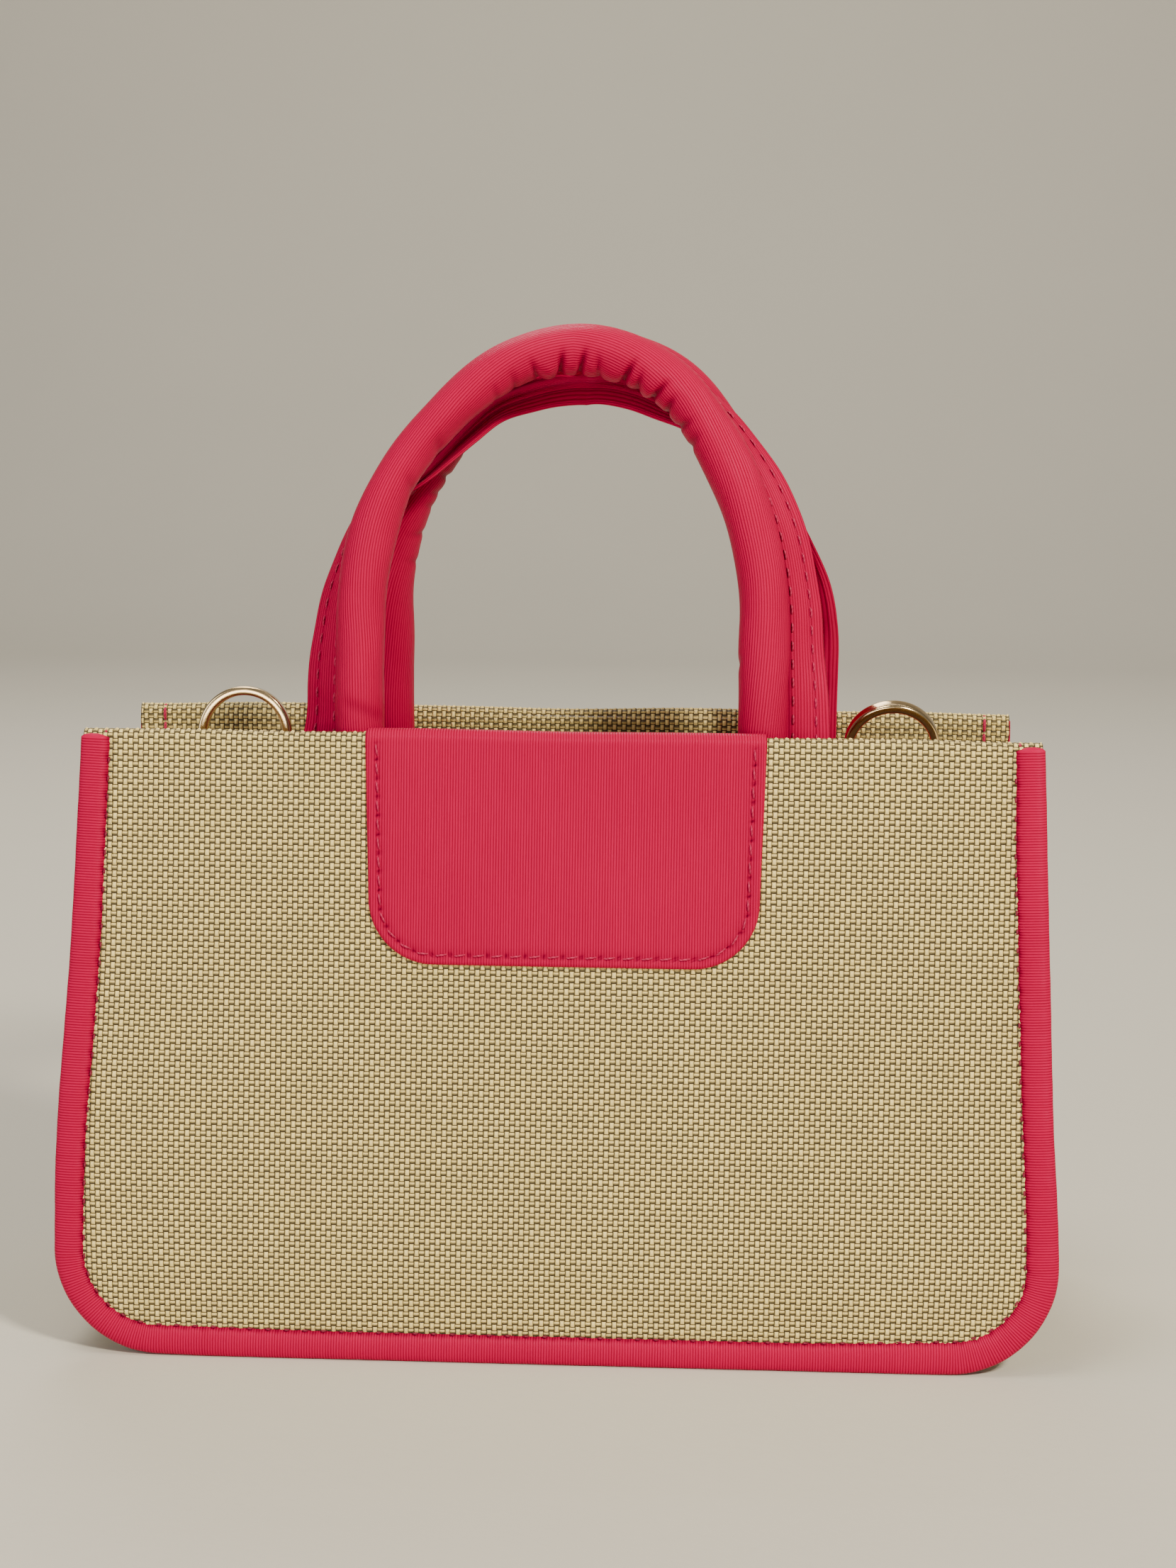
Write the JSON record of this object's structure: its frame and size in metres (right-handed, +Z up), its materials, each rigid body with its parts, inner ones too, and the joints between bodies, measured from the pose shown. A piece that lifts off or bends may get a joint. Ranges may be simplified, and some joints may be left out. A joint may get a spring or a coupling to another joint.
{
  "type": "mini tote bag",
  "caption": "Small structured canvas tote bag with leatherette piping and rim patch, padded folding handles and swinging D-rings for a strap.",
  "frame": {"origin": "on the floor at the middle of the base", "axes": "+X to the right seen from the front, -Y out of the front face, +Z up"},
  "size_m": [0.2588, 0.102, 0.2674],
  "materials": {
    "woven_canvas": "coarse plain weave, slight sheen",
    "ribbed_leatherette": "fine parallel ribs, satin",
    "plain_lining": "plain matt lining",
    "stiffening_board": "matt board",
    "piping_filler": "matt",
    "handle_padding": "soft rope padding",
    "pale_gold_metal": "polished pale gold plating"
  },
  "bodies": {
    "bag": {"front_panel": "woven_canvas", "back_panel": "woven_canvas", "right_gusset": "woven_canvas", "left_gusset": "woven_canvas", "base_panel": "woven_canvas", "front_piping": "ribbed_leatherette", "back_piping": "ribbed_leatherette", "front_patch": "ribbed_leatherette", "front_handle_tab_left": "ribbed_leatherette", "front_handle_tab_right": "ribbed_leatherette", "back_handle_tab_left": "ribbed_leatherette", "back_handle_tab_right": "ribbed_leatherette", "left_ring_tab": "ribbed_leatherette", "right_ring_tab": "ribbed_leatherette", "front_lining": "plain_lining", "back_lining": "plain_lining", "right_gusset_lining": "plain_lining", "left_gusset_lining": "plain_lining", "base_lining": "plain_lining", "front_stiffener": "stiffening_board", "back_stiffener": "stiffening_board", "base_board": "stiffening_board", "front_piping_filler": "piping_filler", "back_piping_filler": "piping_filler"},
    "front_handle": {"front_handle_cover": "ribbed_leatherette", "front_handle_core": "handle_padding"},
    "back_handle": {"back_handle_cover": "ribbed_leatherette", "back_handle_core": "handle_padding"},
    "left_d_ring": {"left_ring": "pale_gold_metal"},
    "right_d_ring": {"right_ring": "pale_gold_metal"}
  },
  "joints": [
    {"name": "front_handle_fold", "type": "hinge", "parent": "bag", "child": "front_handle", "pos_m": [0, -0.0223, 0.171], "axis": [1, 0, 0], "range_deg": [0, 97]},
    {"name": "back_handle_fold", "type": "hinge", "parent": "bag", "child": "back_handle", "pos_m": [0, 0.0223, 0.171], "axis": [-1, 0, 0], "range_deg": [0, 96]},
    {"name": "left_ring_swing", "type": "hinge", "parent": "bag", "child": "left_d_ring", "pos_m": [-0.0875, 0, 0.153], "axis": [1, 0, 0], "range_deg": [-76, 84]},
    {"name": "right_ring_swing", "type": "hinge", "parent": "bag", "child": "right_d_ring", "pos_m": [0.0875, 0, 0.153], "axis": [1, 0, 0], "range_deg": [-102, 58]}
  ]
}
